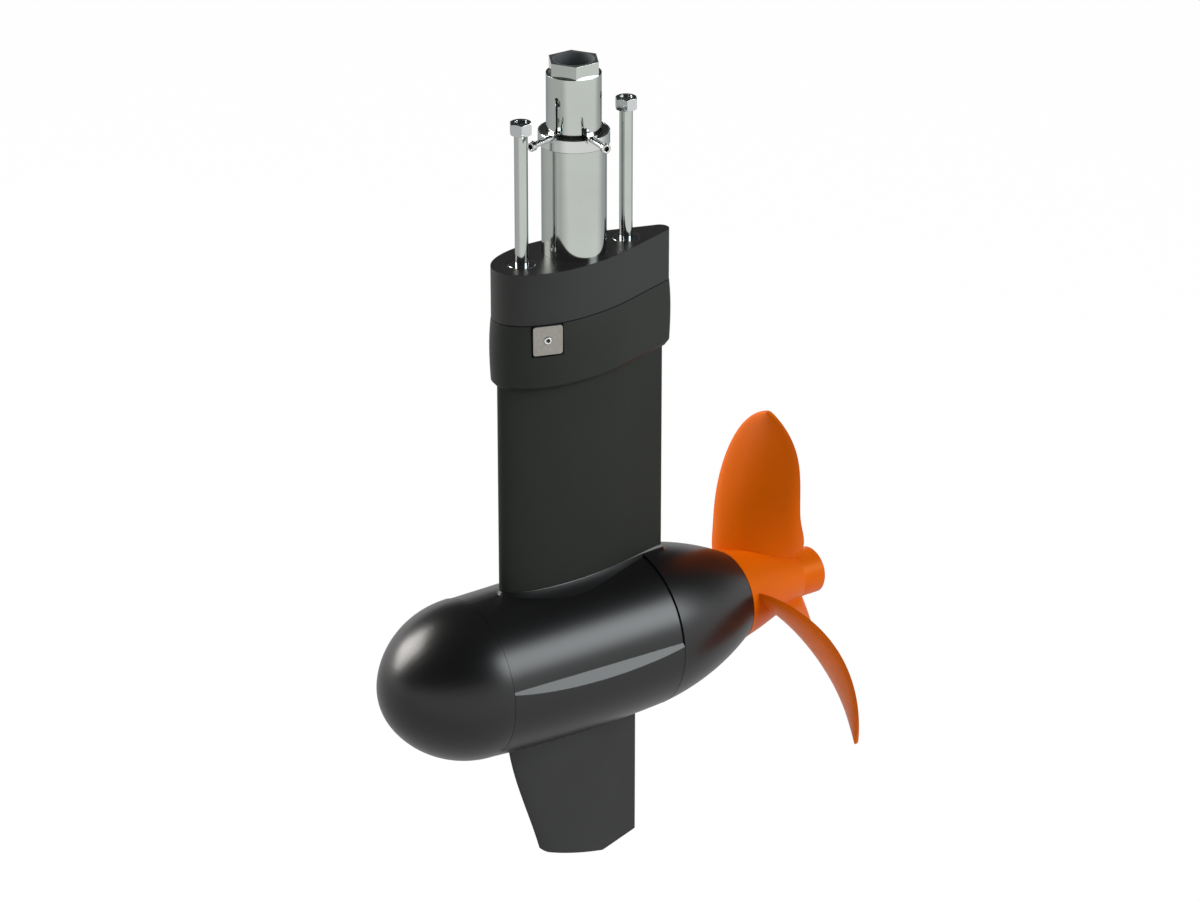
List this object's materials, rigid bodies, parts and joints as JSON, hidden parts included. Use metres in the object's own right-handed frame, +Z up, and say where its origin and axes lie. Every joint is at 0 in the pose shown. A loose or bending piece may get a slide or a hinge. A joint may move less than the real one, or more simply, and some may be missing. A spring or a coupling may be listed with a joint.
{
  "type": "electric outboard motor",
  "caption": "Electric pod motor on a foil-shaped strut, with a through-hull tube, clamped sliding mast, hull studs, skeg fin and twisted-blade propeller.",
  "frame": {"origin": "On the axis of the through-hull tube, midway between the two hull studs, in the strut head's flat top face, which bears on the hull.", "axes": "+Z up along the tube and the studs, +X aft along the motor's shaft towards the propeller, +Y to starboard"},
  "size_m": [0.4821, 0.3204, 0.788],
  "materials": {
    "head_shell": "matt moulded dark grey",
    "band_shell": "satin near-black",
    "leg_shell": "satin near-black paint",
    "pod_shell": "satin black paint",
    "fin_plastic": "matt dark grey",
    "propeller_plastic": "satin orange",
    "stainless": "polished stainless steel",
    "polished_steel": "bright polished",
    "anode_metal": "dull cast, unpainted",
    "black_rubber": "matt",
    "black_plastic": "matt black",
    "cast_aluminium": "as cast",
    "lamination_steel": "stacked sheet",
    "copper_wire": "lacquered copper wire",
    "magnet": "nickel plated",
    "circuit_board": "green lacquer",
    "bearing_steel": "ground and polished",
    "cage_brass": "machined"
  },
  "bodies": {
    "housing": {"strut_head": "head_shell", "strut_band": "band_shell", "strut_leg": "leg_shell", "leg_gasket": "black_rubber", "leg_tie_rods": "stainless", "pod_housing": "pod_shell", "nose_cone": "pod_shell", "nose_seal_ring": "black_rubber", "tail_housing": "pod_shell", "tail_seal_ring": "black_rubber", "skeg_fin": "fin_plastic", "outer_tube": "stainless", "clamp_collar": "stainless", "tube_bush": "black_plastic", "clamp_screws": "stainless", "mounting_studs": "stainless", "stud_nuts": "stainless", "stud_washers": "polished_steel", "anode_plate": "anode_metal", "anode_screw": "stainless", "front_end_shield": "cast_aluminium", "shield_screws": "stainless", "stator_core": "lamination_steel", "stator_windings": "copper_wire", "shaft_seal": "black_rubber", "control_board": "circuit_board", "board_standoffs": "cast_aluminium", "front_bearing_outer": "bearing_steel", "rear_bearing_outer": "bearing_steel"},
    "mast": {"inner_tube": "stainless", "gland_nut": "stainless"},
    "rotor": {"motor_shaft": "stainless", "rotor_core": "lamination_steel", "rotor_magnets": "magnet", "front_bearing_inner": "bearing_steel", "rear_bearing_inner": "bearing_steel", "propeller": "propeller_plastic", "drive_pin": "stainless", "propeller_nut": "stainless", "thrust_washer": "stainless"},
    "front_ball_set": {"front_bearing_balls": "bearing_steel", "front_bearing_cage": "cage_brass"},
    "rear_ball_set": {"rear_bearing_balls": "bearing_steel", "rear_bearing_cage": "cage_brass"}
  },
  "joints": [
    {"name": "propeller_spin", "type": "hinge", "parent": "housing", "child": "rotor", "pos_m": [0.2, 0, -0.3874], "axis": [1, 0, 0], "continuous": true},
    {"name": "front_ball_spin", "type": "hinge", "parent": "housing", "child": "front_ball_set", "pos_m": [-0.0885, 0, -0.3874], "axis": [1, 0, 0], "continuous": true},
    {"name": "rear_ball_spin", "type": "hinge", "parent": "housing", "child": "rear_ball_set", "pos_m": [0.1075, 0, -0.3874], "axis": [1, 0, 0], "continuous": true},
    {"name": "mast_slide", "type": "slide", "parent": "housing", "child": "mast", "axis": [0, 0, 1], "range_m": [-0.028, 0.044]}
  ],
  "couplings": [
    {"joint": "front_ball_spin", "follows": "propeller_spin", "ratio": 0.396},
    {"joint": "rear_ball_spin", "follows": "propeller_spin", "ratio": 0.396}
  ]
}
